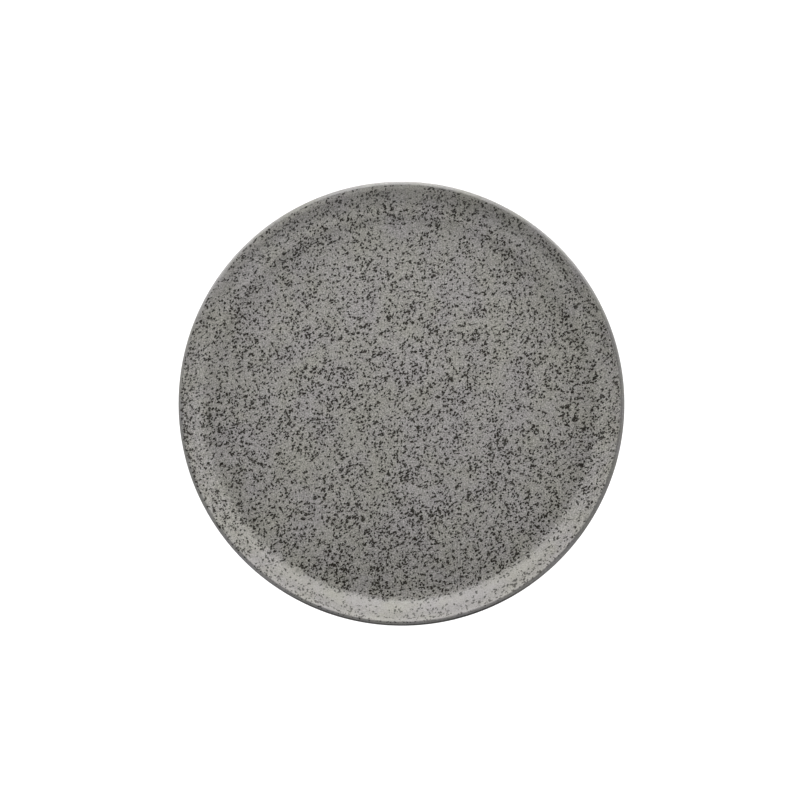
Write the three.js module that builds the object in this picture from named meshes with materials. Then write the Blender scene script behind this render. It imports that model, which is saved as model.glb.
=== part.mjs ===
// Flat coupe dinner plate in speckled, glazed stoneware.
// Millimetres, +Z up. The origin is the centre of the foot ring's resting face.
//
// The plate is one pressed and fired clay body with three separate coats of
// glaze: the speckled coat on the eating face, the plain coat that starts on
// the lip and runs down the outside to the foot ring, and the plain coat in
// the recess inside the foot ring. The foot ring's resting face is bare clay.

import * as THREE from 'three';

// ---- driving dimensions (mm, degrees) ----
const LIP_RADIUS = 135.0; // outermost radius of the lip
const WELL_RADIUS = 116.5; // the flat eating face ends here
const WELL_HEIGHT = 8.0; // eating face above the table
const COVE_OUTER_RADIUS = 122.6; // the tight cove at the well's edge ends here
const COVE_SLOPE = 38.0; // slope where the cove turns into the wall
const WALL_SLOPE = 58.0; // steepest slope of the rising wall, at its top
const LIP_INNER_ROUND = 0.7; // small rounding between wall and lip
const LIP_OUTER_ROUND = 2.1; // rounding from the crest to the outside
const COAT_SEAM_TILT = 15.0; // slope at which the face coat ends, inside the crest
const UNDERSIDE_AT_FOOT = 2.95; // height of the underside where it meets the foot
const OUTER_WALL_BEND = 43.0; // radius of the gentle bend of the outer wall
const RECESS_HEIGHT = 2.6; // ceiling of the recess inside the foot ring
const FOOT_OUTER_RADIUS = 90.5;
const FOOT_INNER_RADIUS = 85.5;
const FOOT_OUTER_FILLET = 1.9;
const FOOT_INNER_FILLET = 1.6;
const FOOT_EDGE_ROUND = 0.7;
const GLAZE_THICKNESS = 0.35;
const BOND_GAP = 0.05; // clearance between a coat and the clay under it
const BARE_LEDGE = 0.1; // clearance under the end of a coat at the foot
const SEGMENTS = 60; // facets around the axis

// ---- profile helpers, in the half plane (radius, height) ----
const rad = (deg) => (deg * Math.PI) / 180;

function arc(cx, cy, r, fromDeg, toDeg, steps) {
  const points = [];
  for (let i = 0; i <= steps; i++) {
    const a = rad(fromDeg + ((toDeg - fromDeg) * i) / steps);
    points.push(new THREE.Vector2(cx + r * Math.cos(a), cy + r * Math.sin(a)));
  }
  return points;
}

const at = (r, z) => new THREE.Vector2(r, z);

function joined(...runs) {
  const out = [];
  for (const run of runs) {
    for (const p of run) {
      if (out.length === 0 || out[out.length - 1].distanceTo(p) > 1e-6) out.push(p);
    }
  }
  return out;
}

// The same run moved sideways by a distance, to the right of its direction.
// The sideways directions at its two ends are given, so that ends which face
// each other stay parallel.
function inset(run, distance) {
  const { points, start, end } = run;
  const normals = [];
  for (let i = 0; i + 1 < points.length; i++) {
    const d = points[i + 1].clone().sub(points[i]).normalize();
    normals.push(at(d.y, -d.x));
  }
  return points.map((p, i) => {
    let m;
    if (i === 0) m = start.clone();
    else if (i === points.length - 1) m = end.clone();
    else {
      m = normals[i - 1].clone().add(normals[i]);
      m.multiplyScalar(2 / m.lengthSq());
    }
    return at(p.x + m.x * distance, p.y + m.y * distance);
  });
}

// Unit direction from a point of a circle to its centre.
const inwards = (deg) => at(-Math.cos(rad(deg)), -Math.sin(rad(deg)));

// ---- finished surface, from the middle of the eating face outwards ----
const crestRadius = LIP_RADIUS - LIP_OUTER_ROUND;
const rise = (deg) => 1 - Math.cos(rad(deg));
const reach = (deg) => Math.sin(rad(deg));
const wallTopRadius = crestRadius - LIP_INNER_ROUND * reach(WALL_SLOPE);
const coveRadius = (COVE_OUTER_RADIUS - WELL_RADIUS) / reach(COVE_SLOPE);
const wallRadius = (wallTopRadius - COVE_OUTER_RADIUS) / (reach(WALL_SLOPE) - reach(COVE_SLOPE));
const coveCentre = at(WELL_RADIUS, WELL_HEIGHT + coveRadius);
// both bends share the direction to their centre where they meet
const wallCentre = at(
  COVE_OUTER_RADIUS - wallRadius * reach(COVE_SLOPE),
  WELL_HEIGHT + coveRadius * rise(COVE_SLOPE) + wallRadius * (1 - rise(COVE_SLOPE)),
);
const wallTopHeight = wallCentre.y - wallRadius * (1 - rise(WALL_SLOPE));
const crestHeight = wallTopHeight + LIP_INNER_ROUND * rise(WALL_SLOPE);
const lipOuterCentre = at(crestRadius, crestHeight - LIP_OUTER_ROUND);
const seamHalfGap = ((BOND_GAP / LIP_INNER_ROUND) * 90) / Math.PI;

// eating face, wall and the inside of the lip, up to a given slope of the rounding
const facePoints = (toDeg) =>
  joined(
    [at(0, WELL_HEIGHT)],
    arc(coveCentre.x, coveCentre.y, coveRadius, -90, -90 + COVE_SLOPE, 5),
    arc(wallCentre.x, wallCentre.y, wallRadius, -90 + COVE_SLOPE, -90 + WALL_SLOPE, 4),
    arc(crestRadius, crestHeight - LIP_INNER_ROUND, LIP_INNER_ROUND, 90 + WALL_SLOPE, toDeg, 3),
  );

// Outer wall: a gentle bend below the lip, and a tighter one down to the
// level underside, with the same two slopes as the inside.
const outerWallTop = at(
  lipOuterCentre.x + LIP_OUTER_ROUND * reach(WALL_SLOPE),
  lipOuterCentre.y - LIP_OUTER_ROUND * (1 - rise(WALL_SLOPE)),
);
const outerWallCentre = at(
  outerWallTop.x - OUTER_WALL_BEND * reach(WALL_SLOPE),
  outerWallTop.y + OUTER_WALL_BEND * (1 - rise(WALL_SLOPE)),
);
const bendStart = at(
  outerWallCentre.x + OUTER_WALL_BEND * reach(COVE_SLOPE),
  outerWallCentre.y - OUTER_WALL_BEND * (1 - rise(COVE_SLOPE)),
);
const outerCoveRadius = (bendStart.y - UNDERSIDE_AT_FOOT) / rise(COVE_SLOPE);
const outerCoveCentre = at(bendStart.x - outerCoveRadius * reach(COVE_SLOPE), UNDERSIDE_AT_FOOT + outerCoveRadius);

// top and outside of the lip, outer wall, underside and the outside of the foot
const outerPoints = (fromDeg) =>
  joined(
    arc(crestRadius, crestHeight - LIP_INNER_ROUND, LIP_INNER_ROUND, fromDeg, 90, 1),
    arc(lipOuterCentre.x, lipOuterCentre.y, LIP_OUTER_ROUND, 90, 0, 5),
    arc(lipOuterCentre.x, lipOuterCentre.y, LIP_OUTER_ROUND, 0, -90 + WALL_SLOPE, 2),
    arc(outerWallCentre.x, outerWallCentre.y, OUTER_WALL_BEND, -90 + WALL_SLOPE, -90 + COVE_SLOPE, 3),
    arc(outerCoveCentre.x, outerCoveCentre.y, outerCoveRadius, -90 + COVE_SLOPE, -90, 4),
    arc(FOOT_OUTER_RADIUS + FOOT_OUTER_FILLET, UNDERSIDE_AT_FOOT - FOOT_OUTER_FILLET, FOOT_OUTER_FILLET, 90, 180, 3),
  );

// recess inside the foot ring, from the foot to the middle
const basePoints = joined(
  arc(FOOT_INNER_RADIUS - FOOT_INNER_FILLET, RECESS_HEIGHT - FOOT_INNER_FILLET, FOOT_INNER_FILLET, 0, 90, 3),
  [at(0, RECESS_HEIGHT)],
);

const seam = 90 + COAT_SEAM_TILT;
const faceRun = { points: facePoints(seam + seamHalfGap), start: at(0, -1), end: inwards(seam + seamHalfGap) };
const outerRun = { points: outerPoints(seam - seamHalfGap), start: inwards(seam - seamHalfGap), end: at(-1, 0) };
const baseRun = { points: basePoints, start: at(1, 0), end: at(0, 1) };
// the clay carries on under the seam where two coats meet on the lip
const upperRun = { points: joined(facePoints(seam), outerPoints(seam)), start: at(0, -1), end: at(-1, 0) };

// bare clay of the foot ring, between the two coats
const outerEnd = outerRun.points[outerRun.points.length - 1];
const innerEnd = basePoints[0];
const footRun = joined(
  [at(outerEnd.x - GLAZE_THICKNESS - BOND_GAP, outerEnd.y - BARE_LEDGE), at(outerEnd.x, outerEnd.y - BARE_LEDGE)],
  arc(FOOT_OUTER_RADIUS - FOOT_EDGE_ROUND, FOOT_EDGE_ROUND, FOOT_EDGE_ROUND, 0, -90, 2),
  arc(FOOT_INNER_RADIUS + FOOT_EDGE_ROUND, FOOT_EDGE_ROUND, FOOT_EDGE_ROUND, -90, -180, 2),
  [at(innerEnd.x, innerEnd.y - BARE_LEDGE), at(innerEnd.x + GLAZE_THICKNESS + BOND_GAP, innerEnd.y - BARE_LEDGE)],
);

// ---- closed profiles ----
// Each runs up its outer side, so the finished faces point outwards.
const skin = (run) => inset(run, GLAZE_THICKNESS);
const bed = (run) => inset(run, GLAZE_THICKNESS + BOND_GAP);

const clayProfile = joined(bed(upperRun), footRun, bed(baseRun)).reverse();
const faceProfile = joined(faceRun.points, skin(faceRun).reverse()).reverse();
const outerProfile = joined(outerRun.points, skin(outerRun).reverse(), [outerRun.points[0]]).reverse();
const baseProfile = joined(skin(baseRun).reverse(), baseRun.points).reverse();

// ---- materials ----
const clay = new THREE.MeshStandardMaterial({ color: 0xc9bfae, roughness: 0.85, metalness: 0 });
const speckledGlaze = new THREE.MeshStandardMaterial({ color: 0x7d7b78, roughness: 0.4, metalness: 0 });
const plainGlaze = new THREE.MeshStandardMaterial({ color: 0x85837f, roughness: 0.4, metalness: 0 });
const recessGlaze = new THREE.MeshStandardMaterial({ color: 0x807e7a, roughness: 0.42, metalness: 0 });

function turned(name, profile, material) {
  const geometry = new THREE.LatheGeometry(profile, SEGMENTS);
  geometry.rotateX(Math.PI / 2); // the lathe turns about Y, the plate stands on Z
  const mesh = new THREE.Mesh(geometry, material);
  mesh.name = name;
  return mesh;
}

const plate = new THREE.Group();
plate.add(
  turned('clay_body', clayProfile, clay),
  turned('face_glaze', faceProfile, speckledGlaze),
  turned('outer_glaze', outerProfile, plainGlaze),
  turned('base_glaze', baseProfile, recessGlaze),
);

export default plate;
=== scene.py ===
import math

import bpy
import numpy as np
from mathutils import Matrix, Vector


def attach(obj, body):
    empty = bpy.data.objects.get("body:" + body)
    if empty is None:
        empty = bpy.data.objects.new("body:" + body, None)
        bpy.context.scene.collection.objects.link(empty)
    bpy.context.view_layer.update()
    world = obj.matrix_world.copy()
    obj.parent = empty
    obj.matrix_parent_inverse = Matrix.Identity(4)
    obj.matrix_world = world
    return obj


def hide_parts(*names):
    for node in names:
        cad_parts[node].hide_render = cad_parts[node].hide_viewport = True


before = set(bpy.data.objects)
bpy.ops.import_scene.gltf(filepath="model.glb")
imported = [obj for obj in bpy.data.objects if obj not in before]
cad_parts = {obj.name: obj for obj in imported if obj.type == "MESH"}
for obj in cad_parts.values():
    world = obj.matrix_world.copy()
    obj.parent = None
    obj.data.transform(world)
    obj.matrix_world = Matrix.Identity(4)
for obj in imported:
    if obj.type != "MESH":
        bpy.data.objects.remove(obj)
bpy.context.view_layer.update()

# ---------------------------------------------------------------- dimensions (mm, degrees)
LIP_RADIUS = 135.0
WELL_RADIUS = 116.5
WELL_HEIGHT = 8.0
COVE_OUTER_RADIUS = 122.6
COVE_SLOPE = 38.0
WALL_SLOPE = 58.0
LIP_INNER_ROUND = 0.7
LIP_OUTER_ROUND = 2.1
COAT_SEAM_TILT = 15.0
UNDERSIDE = 2.95
OUTER_WALL_BEND = 43.0
RECESS_HEIGHT = 2.6
FOOT_OUTER_RADIUS = 90.5
FOOT_INNER_RADIUS = 85.5
FOOT_OUTER_FILLET = 1.9
FOOT_INNER_FILLET = 1.6
FOOT_EDGE_ROUND = 0.7
GLAZE = 0.35
BOND = 0.4  # finished surface down to the clay
BARE_STEP = 0.2  # the glaze's edge stands this far proud of the bare foot
TURN = 240  # steps around the axis


def sin(deg):
    return math.sin(math.radians(deg))


def cos(deg):
    return math.cos(math.radians(deg))


def arc(cx, cz, r, a0, a1, n):
    t = np.radians(np.linspace(a0, a1, n + 1))
    return np.c_[cx + r * np.cos(t), cz + r * np.sin(t)]


def joined(*runs):
    out = []
    for p in np.vstack(runs):
        if not out or math.dist(out[-1], p) > 1e-6:
            out.append(p)
    return np.array(out)


def smooth(x, a, b):
    t = np.clip((np.asarray(x, float) - a) / (b - a), 0, 1)
    return t * t * (3 - 2 * t)


# ---------------------------------------------------------------- profile, in (radius, height)
crest_r = LIP_RADIUS - LIP_OUTER_ROUND
wall_top_r = crest_r - LIP_INNER_ROUND * sin(WALL_SLOPE)
cove = (COVE_OUTER_RADIUS - WELL_RADIUS) / sin(COVE_SLOPE)
wall = (wall_top_r - COVE_OUTER_RADIUS) / (sin(WALL_SLOPE) - sin(COVE_SLOPE))
wall_c = (COVE_OUTER_RADIUS - wall * sin(COVE_SLOPE), WELL_HEIGHT + cove * (1 - cos(COVE_SLOPE)) + wall * cos(COVE_SLOPE))
crest_z = wall_c[1] - wall * cos(WALL_SLOPE) + LIP_INNER_ROUND * (1 - cos(WALL_SLOPE))
lip_c = (crest_r, crest_z - LIP_OUTER_ROUND)
outer_top = (lip_c[0] + LIP_OUTER_ROUND * sin(WALL_SLOPE), lip_c[1] - LIP_OUTER_ROUND * cos(WALL_SLOPE))
outer_c = (outer_top[0] - OUTER_WALL_BEND * sin(WALL_SLOPE), outer_top[1] + OUTER_WALL_BEND * cos(WALL_SLOPE))
bend = (outer_c[0] + OUTER_WALL_BEND * sin(COVE_SLOPE), outer_c[1] - OUTER_WALL_BEND * cos(COVE_SLOPE))
heel = (bend[1] - UNDERSIDE) / (1 - cos(COVE_SLOPE))
heel_c = (bend[0] - heel * sin(COVE_SLOPE), UNDERSIDE + heel)

edge_steps = np.array([0.0, 0.5, 1.1, 1.9, 3.0, 4.5, 6.5, 9.0, 12.5, 17, 22, 28, 35, 43, 52, 61, 70, 79, 88, 97, 106, 113])
flat = np.c_[(WELL_RADIUS - edge_steps)[::-1], np.full(len(edge_steps), WELL_HEIGHT)]
seam_deg = 90 + COAT_SEAM_TILT
face_run = joined(
    flat,
    arc(WELL_RADIUS, WELL_HEIGHT + cove, cove, -90, -90 + COVE_SLOPE, 18),
    arc(wall_c[0], wall_c[1], wall, -90 + COVE_SLOPE, -90 + WALL_SLOPE, 16),
    arc(crest_r, crest_z - LIP_INNER_ROUND, LIP_INNER_ROUND, 90 + WALL_SLOPE, seam_deg, 9),
)
under_r = np.array([heel_c[0] - d for d in (0.0, 0.6, 1.6, 3.4, 6.0, 9.5, 13.5, 17.0, 19.5, 20.8)])
foot_out_c = (FOOT_OUTER_RADIUS + FOOT_OUTER_FILLET, UNDERSIDE - FOOT_OUTER_FILLET)
outer_run = joined(
    arc(crest_r, crest_z - LIP_INNER_ROUND, LIP_INNER_ROUND, seam_deg, 90, 3),
    arc(lip_c[0], lip_c[1], LIP_OUTER_ROUND, 90, 0, 18),
    arc(lip_c[0], lip_c[1], LIP_OUTER_ROUND, 0, -90 + WALL_SLOPE, 6),
    arc(outer_c[0], outer_c[1], OUTER_WALL_BEND, -90 + WALL_SLOPE, -90 + COVE_SLOPE, 10),
    arc(heel_c[0], heel_c[1], heel, -90 + COVE_SLOPE, -90, 12),
    np.c_[under_r[under_r > foot_out_c[0] + 0.3], np.full((under_r > foot_out_c[0] + 0.3).sum(), UNDERSIDE)],
    arc(foot_out_c[0], foot_out_c[1], FOOT_OUTER_FILLET, 90, 180, 9),
)
foot_in_c = (FOOT_INNER_RADIUS - FOOT_INNER_FILLET, RECESS_HEIGHT - FOOT_INNER_FILLET)
recess_steps = np.array([0.5, 1.2, 2.2, 3.8, 6, 9, 13, 18, 24, 31, 39, 47, 55, 63, 71, 78, 82])
recess_r = foot_in_c[0] - recess_steps[recess_steps < foot_in_c[0] - 1]
base_run = joined(
    arc(foot_in_c[0], foot_in_c[1], FOOT_INNER_FILLET, 0, 90, 8),
    np.c_[recess_r, np.full(len(recess_r), RECESS_HEIGHT)],
)


# ---------------------------------------------------------------- rings of points around the axis
theta = np.linspace(0, 2 * math.pi, TURN, endpoint=False)
CT, ST = np.cos(theta), np.sin(theta)


def revolve(run):
    """(rings, TURN, 3) points in mm of a run, with the slight warp that firing leaves in the rim."""
    r, z = run[:, :1], run[:, 1:2]
    f = smooth(r, 96, 133)
    rr = r + f * (0.05 * np.cos(2 * theta + 1.9) + 0.03 * np.cos(5 * theta + 0.3)) - 0.03 * f
    zz = z + f * (0.08 * np.cos(2 * theta + 0.6) + 0.05 * np.cos(3 * theta + 2.1))
    return np.stack([rr * CT, rr * ST, zz], -1)


def normals(grid):
    """Unit normals of a grid of rings, left side of the run outwards."""
    d = np.diff(grid, axis=0)
    h = np.linalg.norm(d, axis=-1, keepdims=True)
    u = d / h
    tu = np.empty_like(grid)
    tu[0], tu[-1] = u[0], u[-1]
    tu[1:-1] = (u[:-1] * h[1:] + u[1:] * h[:-1]) / (h[1:] + h[:-1])
    tv = np.roll(grid, -1, 1) - np.roll(grid, 1, 1)
    n = np.cross(tu, tv)
    return n / np.linalg.norm(n, axis=-1, keepdims=True)


def ripple(grid):
    """Faint unevenness of a fired glaze surface, in mm along its normal."""
    x, y = grid[..., 0], grid[..., 1]
    w = np.zeros(x.shape)
    for a, kx, ky, ph in (
        (0.020, 0.11, 0.05, 0.3),
        (0.018, -0.06, 0.12, 1.7),
        (0.014, 0.17, -0.13, 4.1),
        (0.010, 0.05, 0.26, 2.2),
        (0.008, -0.29, 0.08, 5.0),
    ):
        w += a * np.sin(kx * x + ky * y + ph)
    return w


# the two coats that meet on the lip are shaped as one surface
upper = np.vstack([face_run, outer_run[1:]])
seam_i = len(face_run) - 1
grid = revolve(upper)
nrm = normals(grid)
lay = upper[:, 0] * 1.0
lay[seam_i + 20 :] = 999  # the outside has no pool
pool = 0.10 * np.exp(-(((lay - 117.6) / 2.6) ** 2))  # glaze gathers in the cove
quiet = 1 - smooth(upper[:, 0], 125, 131) * 0.8
quiet[len(upper) - 4 :] = 0
grid = grid + nrm * ((ripple(grid) * quiet[:, None] + pool[:, None])[..., None])
nrm = normals(grid)

base_grid = revolve(base_run)
base_nrm = normals(base_grid)
base_grid = base_grid + base_nrm * (ripple(base_grid[..., [1, 0, 2]]) * smooth(85.5 - base_run[:, 0], 0, 3)[:, None])[..., None]
base_nrm = normals(base_grid)


def inset(g, n, d, keep):
    """The chosen rings moved d into the body."""
    return (g - n * d)[keep]


def edge_roll(a, b, steps=4):
    """Rings that round a coat's edge from its finished face (a) to its back (b)."""
    out = []
    for i in range(1, steps):
        t = i / steps * math.pi / 2
        out.append(a + (b - a) * (1 - math.cos(t)))
    return out


# ---------------------------------------------------------------- meshes
class Lathe:
    """A closed surface of rings. Every strip between two rings has its own corner normals and map place."""

    def __init__(self, name):
        self.name, self.rings, self.strips = name, [], []

    def run(self, rings, norms, centre, radii):
        """Adds a run of rings. The first joins to the ring added last, if their places are the same."""
        for i, (p, n, rad) in enumerate(zip(rings, norms, radii)):
            if i == 0 and self.rings and self.rings[-1].shape == p.shape and np.allclose(self.rings[-1], p, atol=1e-5):
                k = len(self.rings) - 1
            else:
                self.rings.append(p)
                k = len(self.rings) - 1
            if i:
                self.strips.append((prev, k, prev_n, n, centre, prev_rad, rad))
            prev, prev_n, prev_rad = k, n, rad
        return self

    def build(self, scale=0.001, closed=False):
        if closed:  # the last ring is the first
            last, first = len(self.rings) - 1, 0
            assert np.allclose(self.rings[last], self.rings[first], atol=1e-5)
            self.rings.pop()
            self.strips = [tuple(first if (j < 2 and v == last) else v for j, v in enumerate(s)) for s in self.strips]
        start, verts = [], []
        for p in self.rings:
            start.append(sum(len(v) for v in verts))
            verts.append(p)
        co = np.vstack(verts) * scale
        faces, corner_n, corner_uv = [], [], []
        j = np.arange(TURN)
        jn = (j + 1) % TURN
        for a, b, na, nb, c, ra, rb in self.strips:
            pa, pb = len(self.rings[a]) == 1, len(self.rings[b]) == 1

            def at(ring, pole, idx, n, rad):
                vid = np.full(TURN, start[ring]) if pole else start[ring] + idx
                nn = np.repeat(n[:1], TURN, 0) if pole else n[idx]
                uv = np.c_[c[0] + rad * CT[idx], c[1] + rad * ST[idx]]
                if pole:
                    uv = np.repeat(np.array([[c[0], c[1]]]), TURN, 0)
                return vid, nn, uv

            corners = [at(a, pa, j, na, ra), at(b, pb, j, nb, rb), at(b, pb, jn, nb, rb), at(a, pa, jn, na, ra)]
            if pa:
                corners = corners[:3]
            elif pb:
                corners = [corners[0], corners[1], corners[3]]
            faces += np.stack([k[0] for k in corners], 1).tolist()
            corner_n.append(np.stack([k[1] for k in corners], 1).reshape(-1, 3))
            corner_uv.append(np.stack([k[2] for k in corners], 1).reshape(-1, 2))
        me = bpy.data.meshes.new(self.name)
        me.from_pydata(co.tolist(), [], faces)
        uv = me.uv_layers.new(name="OFBake")
        uv.data.foreach_set("uv", np.vstack(corner_uv).astype(np.float32).ravel())
        me.polygons.foreach_set("use_smooth", np.ones(len(me.polygons), bool))
        me.update()
        me.normals_split_custom_set(np.vstack(corner_n).tolist())
        ob = bpy.data.objects.new(self.name, me)
        bpy.context.scene.collection.objects.link(ob)
        return ob


def pole(z):
    return np.array([[0.0, 0.0, z]])


UP, DOWN = np.array([[0.0, 0.0, 1.0]]), np.array([[0.0, 0.0, -1.0]])


def lengths(rings):
    """Length along a run of rings, from its first."""
    mid = np.array([[np.hypot(p[:, 0], p[:, 1]).mean(), p[:, 2].mean()] for p in rings])
    return np.r_[0, np.cumsum(np.linalg.norm(np.diff(mid, axis=0), axis=1))]


def run_normals(rings):
    return list(normals(np.stack(rings)))


# speckled coat on the eating face
keep = sorted({0, *range(4, seam_i, 4), seam_i})
front = [pole(WELL_HEIGHT), *grid[: seam_i + 1]]
back = [*inset(grid[: seam_i + 1], nrm[: seam_i + 1], GLAZE, keep)[::-1], pole(WELL_HEIGHT - GLAZE)]
seam_cut = grid[seam_i] - grid[seam_i - 1]
seam_cut = seam_cut / np.linalg.norm(seam_cut, axis=1, keepdims=True)
SEAM_GAP = 0.004
front[-1] = front[-1] - seam_cut * SEAM_GAP
back[0] = back[0] - seam_cut * SEAM_GAP
s = lengths(front)
full = s[-1] + GLAZE
coat = Lathe("speckled_face_glaze")
coat.run(front, [UP, *nrm[: seam_i + 1]], (0.5, 0.5), s / full * 0.49)
coat.run([front[-1], back[0]], [seam_cut, seam_cut], (0.5, 0.5), [s[-1] / full * 0.49, 0.49])
sb = lengths(back)
coat.run(back, [*run_normals(back[:-1]), DOWN], (0.088, 0.088), (sb[-1] - sb) / sb[-1] * 0.085)
face_glaze = coat.build()

# plain coat from the lip down the outside to the foot
o_grid, o_nrm = grid[seam_i:].copy(), nrm[seam_i:]
o_n = len(o_grid)
keep = sorted({0, 2, *range(5, o_n - 1, 4), o_n - 1})
o_back = inset(o_grid, o_nrm, GLAZE, keep)[::-1]
o_grid[0] = o_grid[0] + seam_cut * SEAM_GAP
o_back[-1] = o_back[-1] + seam_cut * SEAM_GAP
roll = edge_roll(o_grid[-1], o_back[0])
drop = np.array([0, 0, -1.0])
end = [o_grid[-1], *[p + drop * 0.12 * math.sin(i / 4 * math.pi / 2) for i, p in enumerate(roll, 1)], o_back[0] + drop * 0.12]
o_back[0] = end[-1]
s = lengths(o_grid)
k = 0.49 / (FOOT_OUTER_RADIUS + s[-1])
rho = (FOOT_OUTER_RADIUS + s[-1] - s) * k
foot_rho = FOOT_OUTER_RADIUS * k
coat = Lathe("plain_outer_glaze")
coat.run(list(o_grid), list(o_nrm), (0.5, 0.5), rho)
se = lengths(end)
coat.run(end, run_normals(end), (0.5, 0.5), foot_rho - se * k)
sb = lengths(o_back)
inner = foot_rho - se[-1] * k - 0.012
coat.run(list(o_back), run_normals(o_back), (0.5, 0.5), inner - sb / sb[-1] * (inner - 0.12))
coat.run([o_back[-1], o_grid[0]], [-seam_cut, -seam_cut], (0.5, 0.5), [0.11, 0.10])
outer_glaze = coat.build(closed=True)

# plain coat in the recess inside the foot
b_n = len(base_grid)
keep = sorted({0, 3, 6, *range(8, b_n, 3), b_n - 1})
b_back = inset(base_grid, base_nrm, GLAZE, keep)
b_end = [b_back[0] + drop * 0.12]
for i in range(1, 4):
    t = i / 4 * math.pi / 2
    b_end.append(b_back[0] + (base_grid[0] - b_back[0]) * math.sin(t) + drop * 0.12 * math.cos(t))
b_end.append(base_grid[0])
b_back[0] = b_end[0]
hidden = [pole(RECESS_HEIGHT + GLAZE), *b_back[::-1]]
shown = [*base_grid, pole(RECESS_HEIGHT)]
s = lengths(shown)
se = lengths(b_end)
full = s[-1] + se[-1]
coat = Lathe("plain_recess_glaze")
sh = lengths(hidden)
coat.run(hidden, [UP, *run_normals(hidden[1:])], (0.088, 0.088), sh / sh[-1] * 0.085)
coat.run(b_end, run_normals(b_end), (0.5, 0.5), (full - se) / full * 0.49)
coat.run(shown, [*base_nrm, DOWN], (0.5, 0.5), (s[-1] - s) / full * 0.49)
base_glaze = coat.build()

# clay body: hidden under the coats, bare on the foot ring
u_grid = revolve(upper)
u_nrm = normals(u_grid)
u_n = len(upper)
keep = sorted({0, *range(6, seam_i, 4), seam_i, seam_i + 2, *range(seam_i + 5, u_n - 1, 4), u_n - 1})
c_top = list(inset(u_grid, u_nrm, BOND, keep))
r_grid = revolve(base_run)
r_nrm = normals(r_grid)
keep = sorted({0, 3, 6, *range(8, b_n, 3), b_n - 1})
c_low = list(inset(r_grid, r_nrm, BOND, keep))
out_r, in_r = FOOT_OUTER_RADIUS - BARE_STEP, FOOT_INNER_RADIUS + BARE_STEP
foot_run = joined(
    [[FOOT_OUTER_RADIUS - BOND, foot_out_c[1] - 0.16], [out_r, foot_out_c[1] - 0.2]],
    arc(out_r - FOOT_EDGE_ROUND, FOOT_EDGE_ROUND, FOOT_EDGE_ROUND, 0, -90, 7),
    np.c_[np.linspace(out_r - FOOT_EDGE_ROUND, in_r + FOOT_EDGE_ROUND, 7), np.zeros(7)],
    arc(in_r + FOOT_EDGE_ROUND, FOOT_EDGE_ROUND, FOOT_EDGE_ROUND, -90, -180, 7),
    [[in_r, foot_in_c[1] - 0.2], [FOOT_INNER_RADIUS + BOND, foot_in_c[1] - 0.16]],
)
f_grid = revolve(foot_run)
chip = 0.012 * np.sin(37 * theta + 0.4) + 0.010 * np.sin(61 * theta + 2.0) + 0.008 * np.sin(97 * theta + 4.2)
side = np.clip(np.abs(foot_run[:, 0] - (out_r + in_r) / 2) / ((out_r - in_r) / 2), 0, 1) ** 6
side[[0, -1]] = 0
f_grid = f_grid - normals(f_grid) * (chip[None, :, None] + 0.02) * side[:, None, None]
f_nrm = normals(f_grid)
body = Lathe("clay_body_bare_foot")
top = [pole(WELL_HEIGHT - BOND), *c_top]
st = lengths(top)
body.run(top, [UP, *run_normals(c_top)], (0.088, 0.088), st / st[-1] * 0.085)
ledge = [c_top[-1], f_grid[0]]
body.run(ledge, run_normals(ledge), (0.5, 0.5), [0.497, 0.49])
sf = lengths(f_grid)
body.run(list(f_grid), list(f_nrm), (0.5, 0.5), 0.49 - sf / sf[-1] * 0.11)
ledge = [f_grid[-1], c_low[0]]
body.run(ledge, run_normals(ledge), (0.5, 0.5), [0.38, 0.373])
low = [*c_low, pole(RECESS_HEIGHT + BOND)]
sl = lengths(low)
body.run(low, [*run_normals(c_low), DOWN], (0.5, 0.5), (sl[-1] - sl) / sl[-1] * 0.36)
clay_body = body.build()

PIECES = {
    face_glaze: ("face_glaze", "speckled_glaze"),
    outer_glaze: ("outer_glaze", "plain_glaze"),
    base_glaze: ("base_glaze", "recess_glaze"),
    clay_body: ("clay_body", "clay"),
}


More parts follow.
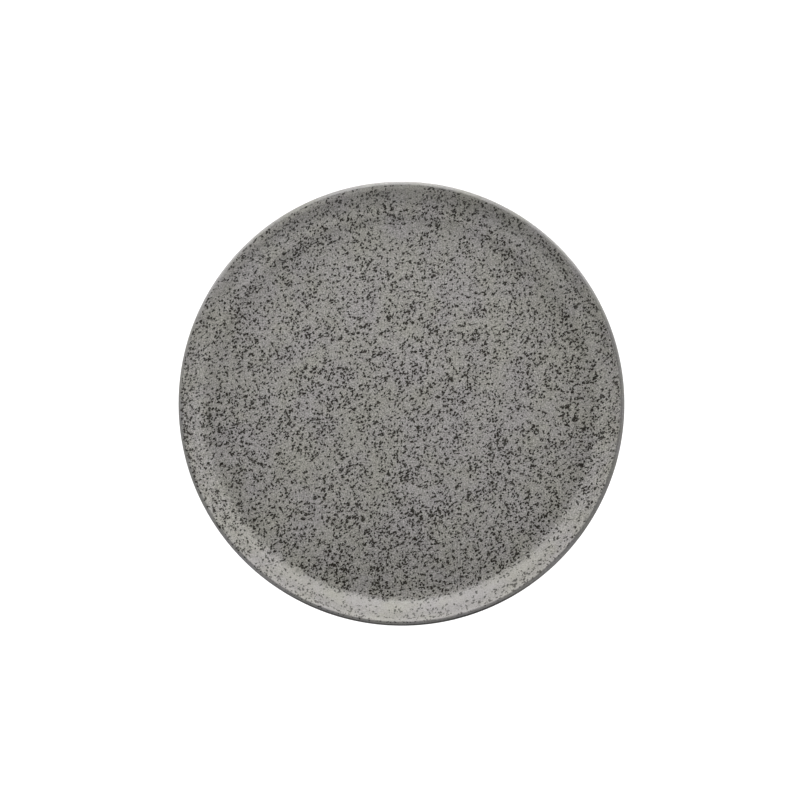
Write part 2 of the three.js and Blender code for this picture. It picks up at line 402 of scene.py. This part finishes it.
# ---------------------------------------------------------------- materials
class Tree:
    """A material's nodes, with short calls for the ones used here."""

    def __init__(self, name):
        self.mat = bpy.data.materials.new(name)
        self.mat.use_nodes = True
        self.t = self.mat.node_tree
        self.t.nodes.clear()
        self.out = self.t.nodes.new("ShaderNodeOutputMaterial")
        self.bsdf = self.t.nodes.new("ShaderNodeBsdfPrincipled")
        self.t.links.new(self.bsdf.outputs["BSDF"], self.out.inputs["Surface"])
        self.place = self.t.nodes.new("ShaderNodeTexCoord").outputs["Object"]
        self.p = self.xyz(self.place)
        self.far = self.length(self.p[0], self.p[1])

    def put(self, socket, value):
        if isinstance(value, bpy.types.NodeSocket):
            self.t.links.new(value, socket)
        else:
            socket.default_value = value

    def math(self, op, a, b=None, c=None, clamp=False):
        n = self.t.nodes.new("ShaderNodeMath")
        n.operation, n.use_clamp = op, clamp
        for i, v in enumerate((a, b, c)):
            if v is not None:
                self.put(n.inputs[i], v)
        return n.outputs[0]

    def vec(self, op, a, b=None, out=0):
        n = self.t.nodes.new("ShaderNodeVectorMath")
        n.operation = op
        self.put(n.inputs[0], a)
        if b is not None:
            self.put(n.inputs[1], b)
        return n.outputs[out]

    def length(self, x, y):
        return self.math("SQRT", self.math("ADD", self.math("MULTIPLY", x, x), self.math("MULTIPLY", y, y)))

    def bell(self, v, middle, half):
        """1 at the middle, falling softly to 0 at half a width on either side."""
        return self.ramp(self.math("ABSOLUTE", self.math("SUBTRACT", v, middle)), 0.0, half, 1.0, 0.0)

    def scaled(self, v, k):
        n = self.t.nodes.new("ShaderNodeVectorMath")
        n.operation = "SCALE"
        self.put(n.inputs[0], v)
        n.inputs["Scale"].default_value = k
        return n.outputs[0]

    def noise(self, place, size, detail=2.0, rough=0.5, out="Fac"):
        n = self.t.nodes.new("ShaderNodeTexNoise")
        n.noise_dimensions = "3D"
        self.put(n.inputs["Vector"], place)
        n.inputs["Scale"].default_value = 1 / size
        n.inputs["Detail"].default_value = detail
        n.inputs["Roughness"].default_value = rough
        return n.outputs[out]

    def cells(self, place, feature="F1"):
        n = self.t.nodes.new("ShaderNodeTexVoronoi")
        n.voronoi_dimensions, n.feature = "3D", feature
        self.put(n.inputs["Vector"], place)
        n.inputs["Scale"].default_value = 1.0
        n.inputs["Randomness"].default_value = 1.0
        return n

    def into(self, place, shift, turn, size):
        """Coordinates measured in cells of a size, along axes turned about Z."""
        n = self.t.nodes.new("ShaderNodeMapping")
        n.vector_type = "TEXTURE"
        self.put(n.inputs["Vector"], place)
        n.inputs["Location"].default_value = shift
        n.inputs["Rotation"].default_value = (0.0, 0.0, math.radians(turn))
        n.inputs["Scale"].default_value = size
        return n.outputs["Vector"]

    def ramp(self, v, a, b, lo=0.0, hi=1.0, soft=True):
        n = self.t.nodes.new("ShaderNodeMapRange")
        n.interpolation_type = "SMOOTHSTEP" if soft else "LINEAR"
        n.clamp = True
        for key, val in (("Value", v), ("From Min", a), ("From Max", b), ("To Min", lo), ("To Max", hi)):
            self.put(n.inputs[key], val)
        return n.outputs["Result"]

    def split(self, colour):
        n = self.t.nodes.new("ShaderNodeSeparateColor")
        self.put(n.inputs[0], colour)
        return n.outputs

    def xyz(self, v):
        n = self.t.nodes.new("ShaderNodeSeparateXYZ")
        self.put(n.inputs[0], v)
        return n.outputs

    def mix(self, f, a, b, how="MIX"):
        n = self.t.nodes.new("ShaderNodeMix")
        n.data_type, n.blend_type = "RGBA", how
        self.put(n.inputs[0], f)
        self.put(n.inputs[6], a)
        self.put(n.inputs[7], b)
        return n.outputs[2]

    def bump(self, height, strength, distance):
        n = self.t.nodes.new("ShaderNodeBump")
        n.inputs["Strength"].default_value = strength
        n.inputs["Distance"].default_value = distance
        self.put(n.inputs["Height"], height)
        return n.outputs["Normal"]

    def finish(self, colour, rough, ior=1.5, normal=None):
        self.put(self.bsdf.inputs["Base Color"], colour)
        self.put(self.bsdf.inputs["Roughness"], rough)
        self.bsdf.inputs["IOR"].default_value = ior
        if normal is not None:
            self.put(self.bsdf.inputs["Normal"], normal)
        return self.mat


BASE = (0.2905, 0.2820, 0.2652, 1)
SPECK = (0.0054, 0.0028, 0.0004, 1)
PLAIN = (0.250, 0.244, 0.233, 1)
LIP = (0.200, 0.195, 0.186, 1)
NEAR_LIP_PAINTED_SHADE = (0.032, 0.031, 0.029, 1)


def specks(t):
    """Share of dark speck at a place: short irregular dashes and dots, loosely gathered in chains."""
    plan = t.vec("MULTIPLY", t.place, (1.0, 1.0, 0.5))  # less drawn out on the steep wall
    jitter = t.noise(plan, 0.0011, 1.0, 0.5, "Color")
    wobble = t.vec("ADD", plan, t.scaled(t.vec("SUBTRACT", jitter, (0.5, 0.5, 0.5)), 0.0010))
    # chains: more specks along the walls of coarse cells, and open patches elsewhere
    chain = t.cells(t.into(wobble, (0.013, 0.007, 0.002), 20, (0.0050, 0.0044, 0.0047)), "DISTANCE_TO_EDGE").outputs["Distance"]
    near = t.ramp(chain, 0.02, 0.22, 1.0, 0.0)
    drift = t.ramp(t.noise(t.place, 0.012, 2.0, 0.55), 0.33, 0.67, 0.0, 1.0)
    odds = t.math("ADD", t.math("MULTIPLY", near, 0.14), t.math("MULTIPLY", drift, 0.15))
    # a little denser towards the near side of the well; thinner on the wall, most of all low on the near side, which
    # is partly a painted highlight: the veil of the near wall's sheen
    wall_on = t.ramp(t.far, 0.1175, 0.1225)
    front = t.ramp(t.math("MULTIPLY_ADD", t.p[0], -0.10, t.p[1]), -0.050, -0.122)
    upper_part = t.ramp(t.far, 0.1235, 0.1285, -0.60, -0.22)
    well = t.ramp(t.p[1], -0.10, 0.085, 1.10, 0.84, False)
    thin = t.math("MULTIPLY_ADD", wall_on, t.math("SUBTRACT", t.math("MULTIPLY_ADD", front, upper_part, 0.93), well), well)
    thin = t.math("MULTIPLY_ADD", t.bell(t.far, 0.1235, 0.0045), -0.16, thin)
    thin = t.math("MULTIPLY_ADD", t.bell(t.far, 0.1070, 0.0110), 0.07, thin)
    # gathered against the lip at the left
    left = t.math("MULTIPLY", t.ramp(t.p[1], -0.085, -0.045), t.math("MULTIPLY", t.ramp(t.p[0], -0.07, -0.11), t.ramp(t.p[1], 0.06, 0.015)))
    thin = t.math("MULTIPLY_ADD", t.bell(t.far, 0.1322, 0.0026), t.math("MULTIPLY", left, 0.7), thin)
    # and thinner along the lip at the far side
    thin = t.math("MULTIPLY_ADD", t.bell(t.far, 0.1320, 0.0034), t.ramp(t.p[1], 0.085, 0.125, 0.0, -0.45), thin)
    total = None
    for turn, size, odds_k, odds_0, r0, r1, dark0, dark1, shift in (
        (19, (0.00222, 0.00112, 0.00112), 0.80, 0.036, 0.34, 0.26, 0.88, 1.0, (0.011, 0.003, 0.0021)),
        (34, (0.00214, 0.00112, 0.00112), 0.80, 0.036, 0.34, 0.26, 0.88, 1.0, (0.021, 0.013, 0.0033)),
        (70, (0.00222, 0.00112, 0.00112), 0.70, 0.032, 0.34, 0.26, 0.88, 1.0, (0.031, 0.043, 0.0045)),
        (118, (0.00214, 0.00112, 0.00112), 0.58, 0.028, 0.34, 0.26, 0.88, 1.0, (0.041, 0.033, 0.0057)),
        (0, (0.00153, 0.00153, 0.00153), 0.78, 0.065, 0.33, 0.24, 0.88, 1.0, (0.051, 0.023, 0.0069)),
        (33, (0.00085, 0.00085, 0.00085), 0.62, 0.22, 0.28, 0.22, 0.15, 0.55, (0.061, 0.053, 0.0081)),
    ):
        c = t.cells(t.into(wobble, shift, turn, size))
        rnd = t.split(c.outputs["Color"])
        there = t.math("LESS_THAN", rnd[0], t.math("MULTIPLY", t.math("MULTIPLY_ADD", odds, odds_k, odds_0), thin))
        radius = t.math("MULTIPLY_ADD", rnd[1], r1, r0)
        shape = t.ramp(t.math("SUBTRACT", c.outputs["Distance"], radius), -0.05, 0.05, 1.0, 0.0)
        dark = t.math("MULTIPLY_ADD", rnd[2], dark1 - dark0, dark0)
        one = t.math("MULTIPLY", t.math("MULTIPLY", shape, there), dark)
        total = one if total is None else t.math("MAXIMUM", total, one)
    return total


def speckle_edge(t):
    """1 on the eating face, 0 from the inside of the lip outwards. The speckle sits nearly a millimetre off centre."""
    p = t.xyz(t.vec("ADD", t.place, (0.0007, 0.0004, 0.0)))
    q = t.length(p[0], p[1])
    rag = t.math("MULTIPLY_ADD", t.noise(t.place, 0.0022, 2.0, 0.6), 0.0009, -0.00045)
    return t.ramp(t.math("ADD", q, rag), 0.13275, 0.13305, 1.0, 0.0)


def glaze(name, speckled):
    t = Tree(name)
    cloud = t.noise(t.place, 0.030, 3.0, 0.55)
    fine = t.noise(t.place, 0.0009, 2.0, 0.6)
    hue = t.noise(t.place, 0.022, 4.0, 0.6)
    soft = t.noise(t.place, 0.0042, 2.0, 0.6)
    grain = 0.30
    if speckled:  # smoother on the near wall, where the specks are few
        # partly a painted highlight: the fine tone is weaker on the near wall, as under the wall's sheen
        grain = t.math("MULTIPLY", t.ramp(t.far, 0.1175, 0.1215), t.ramp(t.p[1], -0.045, -0.115))
        grain = t.math("MULTIPLY_ADD", grain, -0.50, 0.82)
    tone = t.math("MULTIPLY_ADD", t.ramp(fine, 0.2, 0.8, -1.0, 1.0, False), grain, t.ramp(cloud, 0.25, 0.75, 0.96, 1.04, False))
    tone = t.math("ADD", tone, t.ramp(soft, 0.25, 0.75, -0.06, 0.06, False))
    tint = t.mix(t.ramp(hue, 0.3, 0.7), (0.996, 1.004, 0.957, 1), (1.004, 0.996, 1.043, 1))
    low = t.ramp(t.p[2], (crest_z - 3.2) / 1000, (crest_z - 0.6) / 1000)
    rim = t.length(t.math("ADD", t.p[0], 0.0003), t.math("ADD", t.p[1], -0.0004))
    thin = t.math("MULTIPLY", t.ramp(rim, 0.1325, 0.1330), low)
    if speckled is not False:  # a deeper line along the lip at the right
        # painted shade: a darker line along the lip's crest at the right side only, standing in for the crest's
        # shading
        right = t.math("MULTIPLY", t.ramp(t.p[0], 0.045, 0.095), t.ramp(t.p[1], 0.130, 0.10))
        tone = t.math("MULTIPLY_ADD", t.bell(t.far, 0.1328, 0.0010), t.math("MULTIPLY", t.math("MULTIPLY", right, low), -0.24), tone)
    if speckled:
        # painted light and shade, mostly on the far side: a lighter band in the cove there, and darker bands up the
        # wall and around the well's edge, where the far wall shades the well. All around, these rings are only a shade
        # darker.
        back = t.ramp(t.p[1], 0.02, 0.11)
        tone = t.math("MULTIPLY_ADD", t.bell(t.far, 0.1200, 0.0055), t.math("MULTIPLY_ADD", back, 0.16, -0.01), tone)
        tone = t.math("MULTIPLY_ADD", t.bell(t.far, 0.1280, 0.0038), t.math("MULTIPLY_ADD", back, -0.06, -0.03), tone)
        tone = t.math("MULTIPLY_ADD", t.bell(t.far, 0.1140, 0.0060), t.math("MULTIPLY_ADD", back, -0.15, -0.01), tone)
        # painted highlight: the near wall lighter, most of all partway up, where the back lights glance off it
        near = t.math("MULTIPLY", t.ramp(t.far, 0.1175, 0.1215), t.ramp(t.p[1], -0.070, -0.128))
        tone = t.math("MULTIPLY_ADD", near, 0.065, tone)
        tone = t.math("MULTIPLY_ADD", t.bell(t.far, 0.1235, 0.0050), t.ramp(t.p[1], -0.040, -0.095, 0.0, 0.10), tone)
        # painted highlight: lighter along the lip, at the far side and in a thin line at the near side
        top = t.math("MULTIPLY", t.bell(t.math("ADD", t.p[0], 0.038), 0.0, 0.120), back)
        tone = t.math("MULTIPLY_ADD", t.bell(t.far, 0.1316, 0.0017), t.math("MULTIPLY", top, 0.42), tone)
        tone = t.math("MULTIPLY_ADD", t.bell(t.far, 0.1316, 0.0013), t.ramp(t.p[1], -0.08, -0.12, 0.0, 0.10), tone)
        # painted shade: a darker patch low in the well before the near wall
        spot = t.length(t.math("MULTIPLY", t.p[0], 1 / 0.080), t.math("MULTIPLY", t.math("ADD", t.p[1], 0.103), 1 / 0.034))
        spot = t.math("MULTIPLY", t.ramp(spot, 0.25, 1.15, 1.0, 0.0), t.ramp(t.far, 0.112, 0.116, 1.0, 0.0))
        tone = t.math("MULTIPLY_ADD", spot, -0.11, tone)
        colour = t.mix(thin, BASE, LIP)
        edge = speckle_edge(t)
        # partly a painted highlight: the specks fade on the near wall, as under the wall's sheen
        dark = t.math("MULTIPLY", specks(t), t.math("MULTIPLY", edge, t.math("MULTIPLY_ADD", near, -0.27, 1.0)))
    elif speckled is None:
        colour = t.mix(thin, PLAIN, LIP)
        # painted highlight: the lip lighter at the far side
        inner = t.math("MULTIPLY", t.ramp(t.p[1], 0.02, 0.11), low)
        tone = t.math("MULTIPLY_ADD", t.bell(t.far, 0.1328, 0.0012), t.math("MULTIPLY", inner, 0.18), tone)
        # painted shade: a dark band on the lip's outer rounding at the near side only, where it turns away from the
        # light
        turn = t.math("MULTIPLY", t.ramp(t.p[2], (crest_z - 3.0) / 1000, (crest_z - 2.1) / 1000), t.ramp(t.p[1], -0.095, -0.128))
        turn = t.math("MULTIPLY", t.ramp(t.far, 0.1337, 0.1344), turn)
        colour = t.mix(turn, colour, NEAR_LIP_PAINTED_SHADE)
        dark = t.math("MULTIPLY", specks(t), t.math("MULTIPLY", speckle_edge(t), low))
        stray = t.cells(t.into(t.place, (0.07, 0.02, 0.01), 25, (0.011, 0.011, 0.011)))
        rnd = t.split(stray.outputs["Color"])
        dot = t.ramp(t.math("SUBTRACT", stray.outputs["Distance"], t.math("MULTIPLY", rnd[1], 0.06)), 0.0, 0.035, 0.75, 0.0)
        dark = t.math("MAXIMUM", dark, t.math("MULTIPLY", dot, t.math("LESS_THAN", rnd[0], 0.35)))
    else:
        colour = t.mix(t.ramp(cloud, 0.3, 0.7), PLAIN, (0.232, 0.226, 0.216, 1))
        stray = t.cells(t.into(t.place, (0.03, 0.06, 0.02), 70, (0.012, 0.012, 0.012)))
        rnd = t.split(stray.outputs["Color"])
        dot = t.ramp(t.math("SUBTRACT", stray.outputs["Distance"], t.math("MULTIPLY", rnd[1], 0.06)), 0.0, 0.035, 0.7, 0.0)
        dark = t.math("MULTIPLY", dot, t.math("LESS_THAN", rnd[0], 0.3))
    n = t.t.nodes.new("ShaderNodeVectorMath")
    n.operation = "SCALE"
    t.put(n.inputs[0], colour)
    t.put(n.inputs["Scale"], tone)
    toned = t.mix(1.0, n.outputs[0], tint, "MULTIPLY")
    colour = t.mix(dark, toned, SPECK)
    rough = t.math("ADD", t.ramp(soft, 0.25, 0.75, 0.37, 0.43, False), t.math("MULTIPLY", dark, -0.06))
    skin = t.math("ADD", t.noise(t.place, 0.0016, 2.0, 0.5), t.math("MULTIPLY", dark, -0.5))
    return t.finish(colour, rough, 1.43, t.bump(skin, 0.10, 0.00012))


def bare_clay():
    t = Tree("bare_stoneware")
    grog = t.noise(t.place, 0.0006, 4.0, 0.7)
    cloud = t.noise(t.place, 0.012, 3.0, 0.6)
    colour = t.mix(t.ramp(cloud, 0.3, 0.7), (0.47, 0.42, 0.34, 1), (0.56, 0.51, 0.43, 1))
    grains = t.cells(t.into(t.place, (0.02, 0.05, 0.01), 15, (0.0009, 0.0009, 0.0009)))
    rnd = t.split(grains.outputs["Color"])
    spot = t.math("MULTIPLY", t.ramp(grains.outputs["Distance"], 0.18, 0.42, 1.0, 0.0), t.math("LESS_THAN", rnd[0], 0.16))
    colour = t.mix(t.math("MULTIPLY", spot, 0.6), colour, (0.16, 0.13, 0.10, 1))
    colour = t.mix(t.ramp(grog, 0.35, 0.7, 0.0, 0.3), colour, (0.66, 0.62, 0.55, 1))
    return t.finish(colour, t.ramp(grog, 0.3, 0.7, 0.78, 0.92, False), 1.45, t.bump(grog, 0.35, 0.0002))


face_glaze.data.materials.append(glaze("speckled_glaze", True))
outer_glaze.data.materials.append(glaze("plain_glaze", None))
base_glaze.data.materials.append(glaze("recess_glaze", False))
clay_body.data.materials.append(bare_clay())

for piece, (node, slot) in PIECES.items():
    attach(piece, "root")
    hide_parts(node)


# ---------------------------------------------------------------- table and backdrop
def paper(name, strength=None, tone=0.90):
    t = Tree(name)
    cloud = t.noise(t.place, 0.25, 2.0, 0.5)
    colour = t.mix(t.ramp(cloud, 0.3, 0.7), (tone, tone, tone, 1), (tone + 0.01, tone + 0.01, tone + 0.01, 1))
    if strength:
        glow = t.t.nodes.new("ShaderNodeEmission")
        t.put(glow.inputs["Color"], colour)
        glow.inputs["Strength"].default_value = strength
        t.t.links.new(glow.outputs[0], t.out.inputs["Surface"])
        return t.mat
    t.bsdf.inputs["Specular IOR Level"].default_value = 0.0
    return t.finish(colour, 1.0)


def disc(name, radius, z, steps=96):
    a = np.linspace(0, 2 * math.pi, steps, endpoint=False)
    me = bpy.data.meshes.new(name)
    me.from_pydata([(radius * math.cos(v), radius * math.sin(v), z) for v in a], [], [tuple(range(steps))])
    ob = bpy.data.objects.new(name, me)
    bpy.context.scene.collection.objects.link(ob)
    return ob


FLOOR_Z = -0.0001
# The table that is seen is white. The one that lights the plate from below is greyer, as a table in its shade is.
floor = disc("table", 7.0, FLOOR_Z)
floor.data.materials.append(paper("table_paper"))
shade = disc("table_shade", 7.0, FLOOR_Z - 0.0004)
shade.data.materials.append(paper("table_shade_paper", tone=0.30))
shade.visible_camera = False
for flag in ("diffuse", "glossy"):
    setattr(floor, "visible_" + flag, False)
floor.visible_shadow = False
a = np.linspace(0, 2 * math.pi, 96, endpoint=False)
me = bpy.data.meshes.new("backdrop")
lower = [(6.9 * math.cos(v), 6.9 * math.sin(v), FLOOR_Z) for v in a]
upper_ring = [(6.9 * math.cos(v), 6.9 * math.sin(v), 5.0) for v in a]
me.from_pydata(lower + upper_ring, [], [((i + 1) % 96, i, 96 + i, 96 + (i + 1) % 96) for i in range(96)])
backdrop = bpy.data.objects.new("backdrop", me)
bpy.context.scene.collection.objects.link(backdrop)
backdrop.data.materials.append(paper("backdrop_paper", 1.14))
for flag in ("diffuse", "glossy", "transmission", "volume_scatter", "shadow"):
    setattr(backdrop, "visible_" + flag, False)


# ---------------------------------------------------------------- light
def receivers(name, objects):
    c = bpy.data.collections.new(name)
    for o in objects:
        c.objects.link(o)
    return c


ON_PLATE = receivers("light_on_plate", list(PIECES))
ON_FACE = receivers("light_on_face", [face_glaze])
ON_OUTSIDE = receivers("light_on_outside", [outer_glaze, base_glaze, clay_body])
ON_TABLE = receivers("light_on_table", [floor, shade])


def soft_box(name, azimuth, elevation, watts, size=0.28, away=0.75, on=ON_PLATE, highlight=True):
    """A square soft light, seen from the middle of the plate. Azimuth 90 is behind it (+Y)."""
    lamp = bpy.data.lights.new(name, "AREA")
    lamp.shape, lamp.size, lamp.energy = "SQUARE", size, watts
    ob = bpy.data.objects.new(name, lamp)
    p = Vector((cos(azimuth) * cos(elevation), sin(azimuth) * cos(elevation), sin(elevation))) * away
    ob.location = p
    ob.rotation_mode = "QUATERNION"
    ob.rotation_quaternion = (-p).to_track_quat("-Z", "Y")
    ob.visible_camera = False
    ob.visible_glossy = highlight
    bpy.context.scene.collection.objects.link(ob)
    ob.light_linking.receiver_collection = on
    return ob


# name, azimuth, elevation, watts on the eating face, share of that on the outside
SOFT_BOXES = (
    ("back_low", 90, 10, 4.48, 0.88),
    ("back_mid", 90, 46, 2.81, 1.0),
    ("back_left_low", 135, 10, 2.71, 1.20),
    ("back_right_low", 45, 10, 2.50, 1.04),
    ("front_left", 225, 28, 1.13, 1.0),
    ("front_low", 270, 10, 0.89, 0.86),
    ("right_low", 0, 10, 0.75, 0.71),
    ("front_right_low", 315, 10, 0.70, 0.77),
    ("front_right", 315, 28, 0.525, 0.76),
    ("right", 0, 28, 0.515, 0.715),
    ("left", 180, 28, 0.47, 1.15),
    ("front_right_mid", 315, 46, 0.39, 0.76),
    ("left_mid", 180, 46, 0.335, 1.145),
    ("back_right", 45, 28, 0.31, 1.0),
    ("front_left_low", 225, 10, 0.17, 0.75),
)
# the part of a low light that gives no highlight on the eating face, so that it doesn't glare along the wall
DULL = {"back_low": 0.68, "back_left_low": 0.68, "back_right_low": 0.68}
for lamp_name, az, el, watts, share in SOFT_BOXES:
    if share == 1.0:
        soft_box(lamp_name, az, el, watts)
    else:
        dull = DULL.get(lamp_name, 0.0)
        if dull:
            soft_box(lamp_name + "_dull", az, el, watts * dull, on=ON_FACE, highlight=False)
        soft_box(lamp_name, az, el, watts * (1 - dull), on=ON_FACE)
        soft_box(lamp_name + "_outside", az, el, watts * share, on=ON_OUTSIDE)

sun = bpy.data.lights.new("table_light", "SUN")
sun.energy, sun.angle = 3.62, math.radians(14)
sun_ob = bpy.data.objects.new("table_light", sun)
sun_ob.rotation_mode = "QUATERNION"
sun_ob.rotation_quaternion = Vector((0.0, sin(5), -cos(5))).to_track_quat("-Z", "Y")
bpy.context.scene.collection.objects.link(sun_ob)
sun_ob.light_linking.receiver_collection = ON_TABLE

sky = bpy.data.lights.new("table_fill", "SUN")
sky.energy, sky.angle = 0.95, math.radians(160)
sky_ob = bpy.data.objects.new("table_fill", sky)  # a sun points straight down
bpy.context.scene.collection.objects.link(sky_ob)
sky_ob.light_linking.receiver_collection = receivers("fill_on_table", [floor])

world = bpy.data.worlds.new("world")
bpy.context.scene.world = world
world.use_nodes = True
world.node_tree.nodes["Background"].inputs[0].default_value = (1, 1, 1, 1)
world.node_tree.nodes["Background"].inputs[1].default_value = 0.02

# ---------------------------------------------------------------- camera
AWAY, TILT = 1.3, 84.7
MM_PER_PIXEL = 0.6056
target = Vector((0, 0, crest_z / 1000))
cam = bpy.data.cameras.new("camera")
cam.sensor_width, cam.lens = 36.0, 36.0 * AWAY / 0.4834
cam.dof.use_dof = False
cam_ob = bpy.data.objects.new("camera", cam)
bpy.context.scene.collection.objects.link(cam_ob)
look = Vector((0, cos(TILT), -sin(TILT)))
q = look.to_track_quat("-Z", "Y")
right, up = q @ Vector((1, 0, 0)), q @ Vector((0, 1, 0))
cam_ob.rotation_mode = "QUATERNION"
cam_ob.rotation_quaternion = q
cam_ob.location = target - look * AWAY + right * (-1.44 * MM_PER_PIXEL / 1000) + up * (1.24 * MM_PER_PIXEL / 1000)
bpy.context.scene.camera = cam_ob

bpy.context.scene.view_settings.view_transform = "Standard"
bpy.context.scene.view_settings.look = "None"

bpy.context.view_layer.update()
